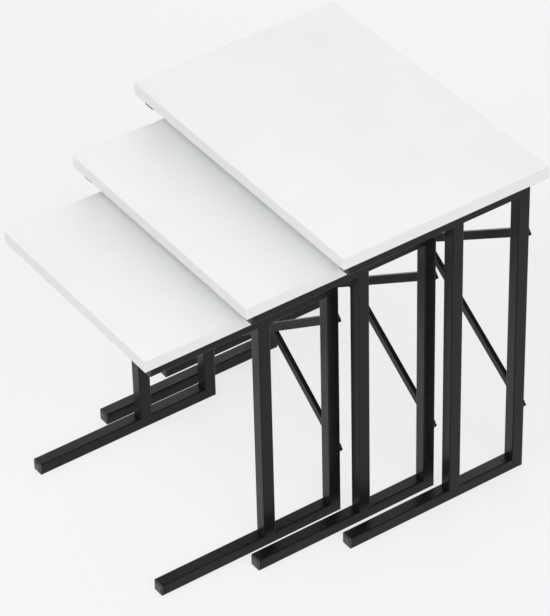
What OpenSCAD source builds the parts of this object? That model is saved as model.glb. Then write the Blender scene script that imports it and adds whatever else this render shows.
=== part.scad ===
// Set of three nesting side tables, drawn out like steps.
// Each table is a banded board on two welded side frames of square tube,
// joined at the rear by a flat-bar X brace.
// Origin: centre of the set's footprint, on the floor. +X right, +Y back, +Z up.

/* [Large table] */
// Width of the large top
large_w = 500; // [440:1:600]
// Height of the large top above the floor
large_h = 523; // [480:1:600]

/* [Boards] */
// Depth of every top, front to back
top_d = 342; // [320:1:400]
// Thickness of the boards
board_t = 18; // [16:1:25]
// Thickness of the edge bands
band_t = 1; // [0.6:0.2:2]

/* [Frame tube] */
// Outside width of the square tube
tube = 19; // [18:0.5:25]
// Wall of the tube
wall = 1.2; // [1:0.1:1.5]
// Outside corner radius of the tube
tube_r = 1.6; // [1.6:0.1:3]

/* [Side frames] */
// From a side edge of a top to its frame
side_inset = 7.5; // [2:0.5:15]
// From the front edge of a top to the front of its frame
front_inset = 11.5; // [4:0.5:30]
// From the rear edge of a top to the rear face of its frame
rear_inset = 25.5; // [16:0.5:40]
// From the front edge of a top to the front face of its front posts
post_set_back = 185; // [150:1:210]

/* [Nesting] */
// Air between a top and the rails of the table above it
top_gap = 10; // [6:1:20]
// Air at each side of the middle top
middle_side_gap = 12.5; // [8:0.5:20]
// Air at each side of the small top
small_side_gap = 10.5; // [8:0.5:20]
// How far the middle table stands out of the large one
middle_draw = 129; // [20:1:200]
// How far the small table stands out of the middle one
small_draw = 137; // [20:1:200]

/* [Rear brace] */
// Width of the flat bars
bar_w = 12.7; // [12:0.1:16]
// Thickness of the flat bars
bar_t = 6.4; // [4:0.1:8]
// How far the bars run past the centre line of the rear posts
bar_past = 4.5; // [3:0.5:7]
// Height of the low bar ends at the rear posts
bar_low = 105; // [60:1:150]
// Drop from the large rails to the high bar ends
large_bar_drop = 72; // [60:1:110]
// Drop from the middle rails to the high bar ends
middle_bar_drop = 65; // [50:1:110]
// Drop from the small rails to the high bar ends
small_bar_drop = 52; // [45:1:110]

/* [End plugs] */
// Thickness of the plug cap outside the tube
cap_t = 2; // [1.2:0.2:3]
// Height of the raised pad on the cap
pad_t = 0.6; // [0.3:0.1:1]
// Margin from the cap's edge to its raised pad
pad_margin = 3; // [2:0.5:5]
// Length of the plug inside the tube
plug_len = 12; // [10:1:20]
// Depth of the plug's ribs
rib_depth = 1.2; // [0.8:0.1:2]
// Clearance between the ribs and the tube
plug_fit = 0.1; // [0.05:0.05:0.2]

/* [Board screws] */
// Shank diameter of the board screws
screw_d = 4; // [3.5:0.1:5]
// Head diameter of the board screws
screw_head_d = 8; // [7:0.5:10]
// Head height of the board screws
screw_head_h = 2.4; // [1.8:0.1:3]
// How deep the board screws go into the board
screw_bite = 12; // [9:1:14]
// From the front of a rail to its front screw
screw_from_front = 55; // [40:1:90]

/* [Brace screws] */
// Thread diameter of the brace screws
bolt_d = 4; // [3.5:0.1:5]
// Head diameter of the brace screws
bolt_head_d = 8; // [7:0.5:9]
// Head height of the brace screws
bolt_head_h = 2.6; // [2:0.1:3]
// Length of the brace screws under the head
bolt_len = 14; // [12:1:16]
// From the end of a bar to its screw
bolt_edge = 8; // [7:0.5:10]
// Outside diameter of the rivet nuts
nut_d = 6; // [5.8:0.1:7]
// Length of the rivet nuts
nut_len = 10; // [9:0.5:12]
// Diameter of the rivet nuts' bulge behind the tube wall
bulge_d = 7.8; // [7.6:0.1:9]
// Length of the bulge
bulge_len = 2.4; // [2:0.1:3]

/* [Fits] */
// Radial clearance of a screw in a drilled hole
hole_clear = 0.25; // [0.15:0.05:0.4]
// Radial clearance of a thread or nut in its seat
seat_clear = 0.05; // [0.03:0.01:0.1]
// Width of the driver cross in the screw heads
cross_w = 1.1; // [0.8:0.1:1.4]
// Span of the driver cross
cross_span = 4.6; // [4:0.2:5.4]
// Depth of the driver cross
cross_depth = 1.5; // [1.2:0.1:1.6]

/* [Hidden] */
$fn = 48;

// The three tables, as indexes into the lists below
LARGE = 0;
MIDDLE = 1;
SMALL = 2;
// The two sides of a table
LEFT = -1;
RIGHT = 1;

// Each top fits between the side frames of the table over it
middle_w = large_w - 2 * (side_inset + tube + middle_side_gap);
small_w = middle_w - 2 * (side_inset + tube + small_side_gap);
// Each top passes under the rails of the table over it
height_step = board_t + tube + top_gap;
set_d = top_d + middle_draw + small_draw;

widths = [large_w, middle_w, small_w];
heights = [large_h, large_h - height_step, large_h - 2 * height_step];
fronts = [set_d / 2 - top_d, set_d / 2 - top_d - middle_draw, -set_d / 2];
bar_drops = [large_bar_drop, middle_bar_drop, small_bar_drop];

// Along a table's depth, counted from the front edge of its top
frame_front = front_inset;
frame_rear = top_d - rear_inset;
tube_start = frame_front + cap_t;
front_screw_y = frame_front + screw_from_front;
rear_screw_y = (post_set_back + frame_rear) / 2;

// Where the tube's inside lies
bore = tube - 2 * wall;
bore_r = tube_r - wall;
mitre_spare = 5;
rib_count = 4;
rib_t = 1;

// Outer face of a table's side frame, and centre line of its posts
function frame_x(t) = widths[t] / 2 - side_inset;
function post_x(t) = frame_x(t) - tube / 2;
// Underside of a board, which is the top of its rails
function rail_top(t) = heights[t] - board_t;
// Height of the high bar ends at the rear posts
function bar_high(t) = rail_top(t) - tube - bar_drops[t];
// Slope, centre height, length and screw offset of a brace bar
function bar_angle(t) = atan2(bar_high(t) - bar_low, 2 * post_x(t));
function bar_mid(t) = (bar_high(t) + bar_low) / 2;
function bar_len(t) = 2 * post_x(t) / cos(bar_angle(t)) + 2 * bar_past;
function bolt_offset(t) = bar_len(t) / 2 - bolt_edge;

// ---- Shared shapes ----

// Square with round corners, centred
module rounded_square(size, r) {
    square([size - 2 * r, size], center = true);
    square([size, size - 2 * r], center = true);
    for (x = [-1, 1], y = [-1, 1])
        translate([x, y] * (size / 2 - r)) circle(r);
}

// Cross-section of the square tube
module tube_section() {
    difference() {
        rounded_square(tube, tube_r);
        rounded_square(bore, bore_r);
    }
}

// Turns a shape built along +Z so that it runs along +Y
module along_y() {
    rotate([-90, 0, 0]) children();
}

// Prism across the tube at x, from a profile in the Y-Z plane
module side_prism(x, profile) {
    translate([x - tube, 0, 0])
        rotate([90, 0, 90]) linear_extrude(2 * tube) polygon(profile);
}

// Puts a table's piece at its place in the set
module in_set(t) {
    translate([0, fronts[t], 0]) children();
}

// Puts a piece of the right side frame on either side
module on_side(side) {
    mirror([side == LEFT ? 1 : 0, 0, 0]) children();
}

// Level tube of a side frame, from its front plug to its rear mitre
module level_tube(t, z) {
    translate([post_x(t), tube_start, z])
        along_y() linear_extrude(frame_rear - tube_start) tube_section();
}

// Flat bar of the brace, leaning to the right for slope 1 and to the left for -1
module brace_bar(t, slope, length) {
    translate([0, frame_rear + bar_t / 2, bar_mid(t)])
        rotate([0, -slope * bar_angle(t), 0])
            cube([length, bar_t, bar_w], center = true);
}

// Shapes centred on the two screws of a bar, starting at the frame's rear face
module at_bar_screws(t, slope) {
    for (end = [-1, 1])
        translate([
            end * bolt_offset(t) * cos(bar_angle(t)),
            frame_rear,
            bar_mid(t) + slope * end * bolt_offset(t) * sin(bar_angle(t))
        ]) children();
}

// Cylinder along Y from y0 to y1
module y_cylinder(d, y0, y1) {
    translate([0, y0, 0]) along_y() cylinder(d = d, h = y1 - y0);
}

// Cross-shaped driver recess, cut downwards from z = 0
module driver_cross() {
    for (a = [0, 90])
        rotate([0, 0, a])
            translate([-cross_span / 2, -cross_w / 2, -cross_depth])
                cube([cross_span, cross_w, cross_depth + 1]);
}

// ---- Top ----

// Board core, drilled for the screws that hold it to the rails
module board(t) {
    color([0.94, 0.95, 0.94])
    in_set(t) difference() {
        translate([-widths[t] / 2 + band_t, band_t, rail_top(t)])
            cube([widths[t] - 2 * band_t, top_d - 2 * band_t, board_t]);
        for (side = [LEFT, RIGHT], y = [front_screw_y, rear_screw_y])
            translate([side * post_x(t), y, rail_top(t) - 1])
                cylinder(d = screw_d + 2 * seat_clear, h = screw_bite + 1.5);
    }
}

// Four edge bands: the front and rear ones run full width, the side ones between them
module edge_bands(t) {
    color([0.92, 0.93, 0.92])
    in_set(t) translate([0, 0, rail_top(t)]) {
        for (y = [0, top_d - band_t])
            translate([-widths[t] / 2, y, 0]) cube([widths[t], band_t, board_t]);
        for (x = [-widths[t] / 2, widths[t] / 2 - band_t])
            translate([x, band_t + seat_clear, 0])
                cube([band_t, top_d - 2 * (band_t + seat_clear), board_t]);
    }
}

// ---- Side frames ----

// Top rail, with holes for the board screws
module rail(t, side) {
    top = rail_top(t);
    color([0.13, 0.13, 0.13])
    in_set(t) on_side(side) difference() {
        level_tube(t, top - tube / 2);
        side_prism(post_x(t), [
            [frame_rear - tube - mitre_spare, top - tube - mitre_spare],
            [frame_rear + mitre_spare, top - tube - mitre_spare],
            [frame_rear + mitre_spare, top + mitre_spare]
        ]);
        for (y = [front_screw_y, rear_screw_y])
            translate([post_x(t), y, top - tube - 1])
                cylinder(d = screw_d + 2 * hole_clear, h = tube + 2);
    }
}

// Floor skid
module skid(t, side) {
    color([0.13, 0.13, 0.13])
    in_set(t) on_side(side) difference() {
        level_tube(t, tube / 2);
        side_prism(post_x(t), [
            [frame_rear - tube - mitre_spare, tube + mitre_spare],
            [frame_rear + mitre_spare, -mitre_spare],
            [frame_rear + mitre_spare, tube + mitre_spare]
        ]);
    }
}

// Front post, square-cut between the skid and the rail
module front_post(t, side) {
    color([0.13, 0.13, 0.13])
    in_set(t) on_side(side)
        translate([post_x(t), post_set_back + tube / 2, tube])
            linear_extrude(rail_top(t) - 2 * tube) tube_section();
}

// Rear post, mitred into the skid and the rail, drilled for the brace's rivet nuts
module rear_post(t, side) {
    top = rail_top(t);
    color([0.13, 0.13, 0.13])
    in_set(t) on_side(side) difference() {
        translate([post_x(t), frame_rear - tube / 2, 0])
            linear_extrude(top) tube_section();
        side_prism(post_x(t), [
            [frame_rear - tube - mitre_spare, tube + mitre_spare],
            [frame_rear + mitre_spare, -mitre_spare],
            [frame_rear - tube - mitre_spare, -mitre_spare]
        ]);
        side_prism(post_x(t), [
            [frame_rear - tube - mitre_spare, top - tube - mitre_spare],
            [frame_rear + mitre_spare, top + mitre_spare],
            [frame_rear - tube - mitre_spare, top + mitre_spare]
        ]);
        for (slope = [-1, 1])
            at_bar_screws(t, slope) y_cylinder(nut_d + 2 * seat_clear, -wall - 1, 1);
    }
}

// Ribbed plastic plugs in the front ends of the rails and skids
module end_plugs(t) {
    color([0.2, 0.2, 0.2])
    in_set(t)
    for (side = [LEFT, RIGHT], z = [tube / 2, rail_top(t) - tube / 2])
        translate([side * post_x(t), 0, z]) end_plug();
}

// One end plug, from the raised pad on its cap to its last rib
module end_plug() {
    core = bore - 2 * (plug_fit + rib_depth);
    translate([0, frame_front, 0]) along_y() {
        linear_extrude(pad_t) rounded_square(tube - 2 * pad_margin, tube_r / 2);
        translate([0, 0, pad_t]) linear_extrude(cap_t - pad_t) rounded_square(tube, tube_r);
        translate([0, 0, cap_t]) linear_extrude(plug_len) square(core, center = true);
        for (i = [0 : rib_count - 1])
            translate([0, 0, cap_t + (i + 0.5) * plug_len / rib_count - rib_t / 2])
                linear_extrude(rib_t) rounded_square(bore - 2 * plug_fit, bore_r);
    }
}

// ---- Rear brace ----

// Bar in one length, low at the left and high at the right
module brace_whole_bar(t) {
    color([0.13, 0.13, 0.13])
    in_set(t) difference() {
        brace_bar(t, 1, bar_len(t));
        at_bar_screws(t, 1) y_cylinder(bolt_d + 2 * hole_clear, -1, bar_t + 1);
    }
}

// Bar in two lengths, butted against the whole bar where they cross
module brace_split_bar(t) {
    color([0.13, 0.13, 0.13])
    in_set(t) difference() {
        brace_bar(t, -1, bar_len(t));
        brace_notch(t);
        at_bar_screws(t, -1) y_cylinder(bolt_d + 2 * hole_clear, -1, bar_t + 1);
    }
}

// Room that the whole bar takes out of the split one
module brace_notch(t) {
    translate([0, frame_rear + bar_t / 2, bar_mid(t)])
        rotate([0, -bar_angle(t), 0])
            cube([bar_len(t), bar_t + 2, bar_w], center = true);
}

// ---- Fasteners ----

// Pan-head screws that go up through the rails into the board
module board_screws(t) {
    color([0.2, 0.2, 0.2])
    in_set(t)
    for (side = [LEFT, RIGHT], y = [front_screw_y, rear_screw_y])
        translate([side * post_x(t), y, rail_top(t) - tube]) {
            cylinder(d = screw_d, h = tube + screw_bite);
            rotate([180, 0, 0]) difference() {
                cylinder(d = screw_head_d, h = screw_head_h);
                translate([0, 0, screw_head_h]) driver_cross();
            }
        }
}

// Pan-head machine screws that hold the bars to the rear posts
module brace_screws(t) {
    color([0.2, 0.2, 0.2])
    in_set(t)
    for (slope = [-1, 1])
        at_bar_screws(t, slope) {
            y_cylinder(bolt_d, bar_t - bolt_len, bar_t);
            translate([0, bar_t, 0]) along_y() difference() {
                cylinder(d = bolt_head_d, h = bolt_head_h);
                translate([0, 0, bolt_head_h]) driver_cross();
            }
        }
}

// Rivet nuts set in the rear posts, bulged behind the tube wall
module rivet_nuts(t) {
    color([0.72, 0.72, 0.7])
    in_set(t)
    for (slope = [-1, 1])
        at_bar_screws(t, slope) difference() {
            union() {
                y_cylinder(nut_d, -nut_len, 0);
                y_cylinder(bulge_d, -wall - bulge_len, -wall);
            }
            y_cylinder(bolt_d + 2 * seat_clear, -nut_len - 1, 1);
        }
}

board(LARGE);  // large_board
edge_bands(LARGE);  // large_edge_bands
rail(LARGE, LEFT);  // large_left_rail
rail(LARGE, RIGHT);  // large_right_rail
skid(LARGE, LEFT);  // large_left_skid
skid(LARGE, RIGHT);  // large_right_skid
front_post(LARGE, LEFT);  // large_left_front_post
front_post(LARGE, RIGHT);  // large_right_front_post
rear_post(LARGE, LEFT);  // large_left_rear_post
rear_post(LARGE, RIGHT);  // large_right_rear_post
brace_whole_bar(LARGE);  // large_brace_whole_bar
brace_split_bar(LARGE);  // large_brace_split_bar
end_plugs(LARGE);  // large_end_plugs
board_screws(LARGE);  // large_board_screws
brace_screws(LARGE);  // large_brace_screws
rivet_nuts(LARGE);  // large_rivet_nuts
board(MIDDLE);  // middle_board
edge_bands(MIDDLE);  // middle_edge_bands
rail(MIDDLE, LEFT);  // middle_left_rail
rail(MIDDLE, RIGHT);  // middle_right_rail
skid(MIDDLE, LEFT);  // middle_left_skid
skid(MIDDLE, RIGHT);  // middle_right_skid
front_post(MIDDLE, LEFT);  // middle_left_front_post
front_post(MIDDLE, RIGHT);  // middle_right_front_post
rear_post(MIDDLE, LEFT);  // middle_left_rear_post
rear_post(MIDDLE, RIGHT);  // middle_right_rear_post
brace_whole_bar(MIDDLE);  // middle_brace_whole_bar
brace_split_bar(MIDDLE);  // middle_brace_split_bar
end_plugs(MIDDLE);  // middle_end_plugs
board_screws(MIDDLE);  // middle_board_screws
brace_screws(MIDDLE);  // middle_brace_screws
rivet_nuts(MIDDLE);  // middle_rivet_nuts
board(SMALL);  // small_board
edge_bands(SMALL);  // small_edge_bands
rail(SMALL, LEFT);  // small_left_rail
rail(SMALL, RIGHT);  // small_right_rail
skid(SMALL, LEFT);  // small_left_skid
skid(SMALL, RIGHT);  // small_right_skid
front_post(SMALL, LEFT);  // small_left_front_post
front_post(SMALL, RIGHT);  // small_right_front_post
rear_post(SMALL, LEFT);  // small_left_rear_post
rear_post(SMALL, RIGHT);  // small_right_rear_post
brace_whole_bar(SMALL);  // small_brace_whole_bar
brace_split_bar(SMALL);  // small_brace_split_bar
end_plugs(SMALL);  // small_end_plugs
board_screws(SMALL);  // small_board_screws
brace_screws(SMALL);  // small_brace_screws
rivet_nuts(SMALL);  // small_rivet_nuts
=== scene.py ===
"""Dresses a set of three nesting side tables for studio pictures.

Each table is a white banded board on two welded side frames of black square
tube, joined at the rear by a flat-bar X brace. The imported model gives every
piece its place and its outer size. This script adds what a box can't tell:
tube walls and round corners, mitres, weld beads, edge bands, plugs, screws and
the finish of each surface. Lengths are in metres.
"""

import logging
import math
from dataclasses import dataclass
from enum import Enum
from typing import Callable, Iterable, Mapping, Sequence

import bmesh
import bpy
from mathutils import Matrix, Quaternion, Vector


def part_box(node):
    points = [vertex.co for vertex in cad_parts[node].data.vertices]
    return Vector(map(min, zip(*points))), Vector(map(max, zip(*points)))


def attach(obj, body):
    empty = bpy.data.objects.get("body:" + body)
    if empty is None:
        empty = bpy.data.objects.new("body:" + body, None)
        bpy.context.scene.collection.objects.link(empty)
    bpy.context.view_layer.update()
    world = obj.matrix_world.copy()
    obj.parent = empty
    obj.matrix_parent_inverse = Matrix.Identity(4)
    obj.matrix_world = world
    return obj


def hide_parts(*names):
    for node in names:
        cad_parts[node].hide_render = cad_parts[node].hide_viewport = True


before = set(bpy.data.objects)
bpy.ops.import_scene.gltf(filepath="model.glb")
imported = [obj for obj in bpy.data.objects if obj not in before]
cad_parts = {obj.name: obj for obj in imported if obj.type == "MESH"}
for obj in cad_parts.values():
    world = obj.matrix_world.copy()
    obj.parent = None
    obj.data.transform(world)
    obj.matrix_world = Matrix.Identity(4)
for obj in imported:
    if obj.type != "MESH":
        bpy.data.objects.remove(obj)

log = logging.getLogger("nesting_tables")

MM = 0.001
FULL_TURN = 2 * math.pi
X_AXIS = Vector((1, 0, 0))
Y_AXIS = Vector((0, 1, 0))
Z_AXIS = Vector((0, 0, 1))
WHITE = (1.0, 1.0, 1.0, 1.0)

PARALLEL = 0.999  # Unit vectors whose dot product is over this are parallel.
ON_PLANE = 0.001 * MM  # Points closer than this to a plane lie on it.
CUT_GRAIN = 0.0001 * MM  # A cut passes through vertices closer than this to it.

Colour = tuple[float, float, float]
Setting = float | tuple[float, ...]


class TableName(Enum):
    """The three tables of the set, by the first word of their nodes' names."""

    LARGE = "large"
    MIDDLE = "middle"
    SMALL = "small"

    @property
    def body(self) -> str:
        """Name of the body that the table's pieces ride on."""
        return f"{self.value}_table"

    def node(self, part: str) -> str:
        """Name of one of the table's nodes or pieces."""
        return f"{self.value}_{part}"


class Side(Enum):
    """The two side frames of a table, by their word in the nodes' names."""

    LEFT = "left"
    RIGHT = "right"


class Slot(Enum):
    """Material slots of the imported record."""

    BOARD = "board_white"
    BAND = "band_white"
    FRAME = "frame_black"
    PLUG = "plug_black"
    SCREW = "screw_black"
    NUT = "nut_zinc"


# ---- Shapes ----


@dataclass(frozen=True)
class Extent:
    """Lowest and highest corner of a piece at rest.

    Attributes:
        low: Lowest corner.
        high: Highest corner.
    """

    low: Vector
    high: Vector

    @classmethod
    def of(cls, node: str) -> "Extent":
        """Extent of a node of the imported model."""
        return cls(*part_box(node))

    @property
    def centre(self) -> Vector:
        """Point half way between the corners."""
        return (self.low + self.high) / 2

    @property
    def size(self) -> Vector:
        """Size along each axis."""
        return self.high - self.low

    def stretched(self, below: Vector, above: Vector) -> "Extent":
        """The extent with its corners moved outwards by the two vectors."""
        return Extent(self.low - below, self.high + above)


def block(extent: Extent) -> bmesh.types.BMesh:
    """Makes a block that fills an extent.

    Args:
        extent: Corners of the block.

    Returns:
        A new mesh with the block in it.
    """
    mesh = bmesh.new()
    bmesh.ops.create_cube(mesh, size=1.0)
    bmesh.ops.scale(mesh, vec=extent.size, verts=mesh.verts)
    bmesh.ops.translate(mesh, vec=extent.centre, verts=mesh.verts)
    return mesh


def peg(
    radius: float, length: float, sides: int, place: Matrix | None = None
) -> bmesh.types.BMesh:
    """Makes a closed round peg along +Z, with its middle at the origin.

    Args:
        radius: Radius of the peg.
        length: Its length.
        sides: Facets around it.
        place: Matrix that moves it to where it belongs, if it moves.

    Returns:
        A new mesh with the peg in it.
    """
    mesh = bmesh.new()
    bmesh.ops.create_cone(
        mesh, cap_ends=True, segments=sides, radius1=radius, radius2=radius, depth=length,
        matrix=Matrix() if place is None else place,
    )
    return mesh


def edges_where(
    mesh: bmesh.types.BMesh, test: Callable[[Vector, Vector], bool]
) -> list[bmesh.types.BMEdge]:
    """Picks edges by their two end points.

    Args:
        mesh: Mesh to look through.
        test: Takes an edge's two ends and says whether it is wanted.

    Returns:
        The wanted edges, in the mesh's own order.
    """
    return [e for e in mesh.edges if test(e.verts[0].co, e.verts[1].co)]


def parallel(line: Vector, axis: Vector) -> bool:
    """Whether a vector of any length runs along a unit vector, either way."""
    return abs(line.normalized().dot(axis)) > PARALLEL


def is_along(axis: Vector) -> Callable[[Vector, Vector], bool]:
    """A test for edges that run along an axis."""
    return lambda a, b: parallel(b - a, axis)


def ease(
    mesh: bmesh.types.BMesh,
    edges: Sequence[bmesh.types.BMEdge],
    radius: float,
    segments: int,
) -> None:
    """Rounds edges over.

    Args:
        mesh: Mesh that holds the edges.
        edges: Edges to round.
        radius: Radius of the rounding.
        segments: Number of facets across it.
    """
    bmesh.ops.bevel(
        mesh, geom=list(edges), offset=radius, offset_type="OFFSET", segments=segments,
        profile=0.5, affect="EDGES", clamp_overlap=True, material=-1,
    )


def cut_away(mesh: bmesh.types.BMesh, point: Vector, facing: Vector) -> None:
    """Cuts off what lies beyond a plane and leaves the cut open.

    Args:
        mesh: Mesh to cut.
        point: A point of the plane.
        facing: Direction of what is cut off.
    """
    bmesh.ops.bisect_plane(
        mesh, geom=[*mesh.verts, *mesh.edges, *mesh.faces], dist=CUT_GRAIN,
        plane_co=point, plane_no=facing, clear_outer=True,
    )


def merged(parts: Iterable[bmesh.types.BMesh]) -> bmesh.types.BMesh:
    """Puts several meshes in one and frees them.

    Args:
        parts: Meshes to gather.

    Returns:
        A new mesh with all of them as separate shells.
    """
    gathered = bmesh.new()
    for part in parts:
        carrier = bpy.data.meshes.new("carrier")
        part.to_mesh(carrier)
        part.free()
        gathered.from_mesh(carrier)
        bpy.data.meshes.remove(carrier)
    return gathered


def placed(mesh: bmesh.types.BMesh, place: Matrix) -> bmesh.types.BMesh:
    """Copies a mesh and moves the copy by a matrix.

    Args:
        mesh: Mesh to copy.
        place: Matrix that moves the copy.

    Returns:
        The moved copy.
    """
    copy = mesh.copy()
    bmesh.ops.transform(copy, matrix=place, verts=copy.verts)
    return copy


def outward(mesh: bmesh.types.BMesh) -> bmesh.types.BMesh:
    """Turns all faces outwards and returns the mesh."""
    bmesh.ops.recalc_face_normals(mesh, faces=mesh.faces)
    return mesh


def turned_to(direction: Vector, origin: Vector) -> Matrix:
    """Matrix that points +Z along a direction and moves the origin to a point."""
    return Matrix.Translation(origin) @ direction.to_track_quat("Z", "Y").to_matrix().to_4x4()


def carved(solid: bmesh.types.BMesh, tool: bmesh.types.BMesh) -> bmesh.types.BMesh:
    """Takes one closed shape out of another and frees both.

    Args:
        solid: Shape to carve.
        tool: Shape to take out. Its shells may cross each other.

    Returns:
        A new mesh with what is left.
    """
    holders = []
    for name, mesh in (("solid", solid), ("tool", tool)):
        data = bpy.data.meshes.new(name)
        mesh.to_mesh(data)
        mesh.free()
        holders.append(bpy.data.objects.new(name, data))
        bpy.context.scene.collection.objects.link(holders[-1])
    cut = holders[0].modifiers.new("cut", "BOOLEAN")
    cut.operation = "DIFFERENCE"
    cut.solver = "EXACT"
    cut.use_self = True
    cut.object = holders[1]
    depsgraph = bpy.context.evaluated_depsgraph_get()
    left = bpy.data.meshes.new_from_object(holders[0].evaluated_get(depsgraph))
    result = bmesh.new()
    result.from_mesh(left)
    bpy.data.meshes.remove(left)
    for holder in holders:
        data = holder.data
        bpy.data.objects.remove(holder)
        bpy.data.meshes.remove(data)
    return result


@dataclass(frozen=True)
class TubeStock:
    """Square steel tube, cut to length and mitred.

    Attributes:
        wall: Thickness of the wall.
        corner: Outside radius of the corners.
        corner_steps: Facets around a corner.
        mitre_line: Width, on each tube, of the fine line where a ground mitre meets.
        saw_spare: Length past the tip of a mitre before it is cut.
    """

    wall: float = 1.2 * MM
    corner: float = 1.6 * MM
    corner_steps: int = 6
    mitre_line: float = 0.12 * MM
    saw_spare: float = 5 * MM

    def length(
        self, extent: Extent, along: Vector, mitres: Sequence[tuple[Vector, Vector]] = ()
    ) -> bmesh.types.BMesh:
        """Makes one length of hollow tube.

        Args:
            extent: Corners of the tube, up to the tips of its mitres.
            along: Unit vector along the tube.
            mitres: A point and an outward normal for each mitred end.

        Returns:
            A new closed mesh of the tube and its walls.
        """
        spare = along * self.saw_spare
        longer = extent.stretched(
            spare if any(out.dot(along) < 0 for _, out in mitres) else Vector(),
            spare if any(out.dot(along) > 0 for _, out in mitres) else Vector(),
        )
        mesh = block(longer)
        ease(mesh, edges_where(mesh, is_along(along)), self.corner, self.corner_steps)
        ends = [f for f in mesh.faces if parallel(f.normal, along)]
        bmesh.ops.inset_individual(mesh, faces=ends, thickness=self.wall, use_even_offset=True)
        bmesh.ops.delete(mesh, geom=ends, context="FACES")
        self._close_rim(mesh)
        for point, out in mitres:
            cut_away(mesh, point, out)
            self._close_rim(mesh)
            self._ease_mitre(mesh, extent.centre, along, point, out)
        return outward(mesh)

    def _close_rim(self, mesh: bmesh.types.BMesh) -> None:
        """Joins the two open loops of a cut tube, outer to inner or end to end."""
        bmesh.ops.bridge_loops(mesh, edges=[e for e in mesh.edges if e.is_boundary])

    def _ease_mitre(
        self, mesh: bmesh.types.BMesh, centre: Vector, along: Vector, point: Vector, out: Vector
    ) -> None:
        """Breaks the outer edge of a mitre, which shows as a fine line.

        Args:
            mesh: The tube.
            centre: Centre of the tube.
            along: Unit vector along the tube.
            point: A point of the mitre's plane.
            out: Outward normal of the mitre.
        """
        across = [axis for axis in (X_AXIS, Y_AXIS, Z_AXIS) if not parallel(axis, along)]
        half = max(abs((v.co - centre).dot(across[0])) for v in mesh.verts)
        midwall = self.wall / 2

        def on_outer_rim(spot: Vector) -> bool:
            """Whether a point is on the mitre and nearer the tube's outside than its inside.

            Args:
                spot: The point.

            Returns:
                True for a point of the outer rim.
            """
            reach = [abs((spot - centre).dot(axis)) for axis in across]
            into_corner = math.hypot(*(max(0.0, r - (half - self.corner)) for r in reach))
            inner = max(reach) < half - midwall and into_corner < self.corner - midwall
            return abs((spot - point).dot(out.normalized())) < ON_PLANE and not inner

        rim = edges_where(mesh, lambda a, b: on_outer_rim(a) and on_outer_rim(b))
        ease(mesh, rim, self.mitre_line, 1)


@dataclass(frozen=True)
class WeldBead:
    """Rippled bead of weld metal along a joint.

    Attributes:
        radius: Radius of the bead.
        pitch: Distance from one ripple to the next.
        ripple: Height of the ripples.
        sides: Facets around the bead.
        cuts_per_ripple: Rings along each ripple.
        bluntness: Power of the curve that narrows the ends: more is blunter.
        end_width: Width at the very ends, as a share of the bead's own.
    """

    radius: float = 1.5 * MM
    pitch: float = 1.7 * MM
    ripple: float = 0.16 * MM
    sides: int = 12
    cuts_per_ripple: int = 4
    bluntness: int = 6
    end_width: float = 0.25

    def run(self, start: Vector, end: Vector, flatness: float = 1.0) -> bmesh.types.BMesh:
        """Lays a bead between two points.

        Args:
            start: Middle of the bead's first end.
            end: Middle of its last end.
            flatness: Height of the bead as a share of its width.

        Returns:
            A new closed mesh of the bead.
        """
        length = (end - start).length
        mesh = peg(self.radius, length, self.sides)
        rings = round(length / self.pitch) * self.cuts_per_ripple
        bmesh.ops.subdivide_edges(
            mesh, edges=edges_where(mesh, is_along(Z_AXIS)), cuts=rings, use_grid_fill=True
        )
        for vert in mesh.verts:
            share = min(1.0, abs(vert.co.z) / (length / 2))
            taper = max(self.end_width, math.sqrt(1 - share ** self.bluntness))
            swell = 1 + self.ripple / self.radius * math.cos(FULL_TURN * vert.co.z / self.pitch)
            vert.co.x *= taper * swell
            vert.co.y *= taper * swell * flatness
        lay = turned_to((end - start).normalized(), (start + end) / 2)
        bmesh.ops.transform(mesh, matrix=lay, verts=mesh.verts)
        return mesh


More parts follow.
